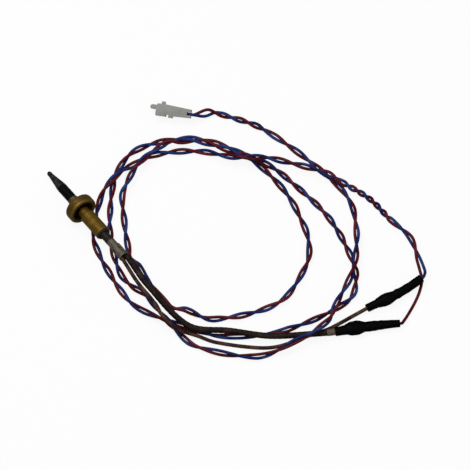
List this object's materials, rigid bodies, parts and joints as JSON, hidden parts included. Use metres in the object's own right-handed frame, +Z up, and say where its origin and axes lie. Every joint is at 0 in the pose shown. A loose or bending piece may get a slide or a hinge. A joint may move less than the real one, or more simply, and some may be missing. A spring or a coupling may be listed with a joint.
{
  "type": "flame sensor probe",
  "caption": "Thermocouple flame sensor: tapered hot tip, brass flange and sleeve, steel tail tube, sleeved leads, heat-shrunk splices and a coiled twisted pair with a latched plug.",
  "frame": {"origin": "middle of the brass sleeve, on the probe's axis", "axes": "+Z up from the floor the coil lies on; +X along the coil's long side, from the probe towards the splices; +Y away from the splices' side, towards the plug. The probe's tip points to azimuth 125.2 degrees from +X and 13.3 degrees down."},
  "size_m": [0.1896, 0.1408, 0.0194],
  "materials": {
    "hot_alloy": "heat-darkened nickel alloy, dull",
    "sheath_black": "oxidised near-black alloy, dull",
    "steel_dark": "turned steel, greyed by heat",
    "steel_tube": "drawn steel, slightly tarnished",
    "brass": "turned brass, tarnished brown in patches",
    "electrode": "bare copper-nickel alloy",
    "seal": "dark cement ring",
    "ceramic": "woven glass-fibre tube",
    "lead_thin": "brown varnished glass-fibre sleeving",
    "lead_thick": "dark brown braided glass-fibre sleeving",
    "clear_tube": "smoked clear tube",
    "copper": "bare stranded copper",
    "tinned": "tin-plated copper",
    "heatshrink": "black heat-shrink sleeve, satin",
    "wire_red": "dark red insulation, satin",
    "wire_blue": "navy blue insulation, satin",
    "nylon": "natural grey-beige nylon, moulded"
  },
  "bodies": {
    "probe_and_cable": {"tip_weld": "hot_alloy", "sheath": "sheath_black", "inner_electrode": "electrode", "electrode_insulator": "ceramic", "sheath_collar": "steel_dark", "flange_hub": "brass", "mounting_sleeve": "brass", "rear_seal_ring": "seal", "support_tube": "steel_tube", "crimp_ferrule": "steel_tube", "thin_lead_core": "copper", "thin_lead_sleeving": "lead_thin", "thick_lead_core": "copper", "thick_lead_sleeving": "lead_thick", "thick_lead_end_tube": "clear_tube", "upper_splice_crimp": "tinned", "upper_heatshrink": "heatshrink", "lower_splice_crimp": "tinned", "lower_heatshrink": "heatshrink", "red_wire": "wire_red", "blue_wire": "wire_blue", "red_wire_core": "copper", "blue_wire_core": "copper", "plug_housing": "nylon", "red_contact": "tinned", "blue_contact": "tinned"},
    "latch": {"plug_latch": "nylon"}
  },
  "joints": [
    {"name": "latch_press", "type": "hinge", "parent": "probe_and_cable", "child": "latch", "pos_m": [0.03947, 0.06704, -0.00557], "axis": [-0.0647, -0.4176, 0.9063], "range_deg": [0, 5]}
  ]
}
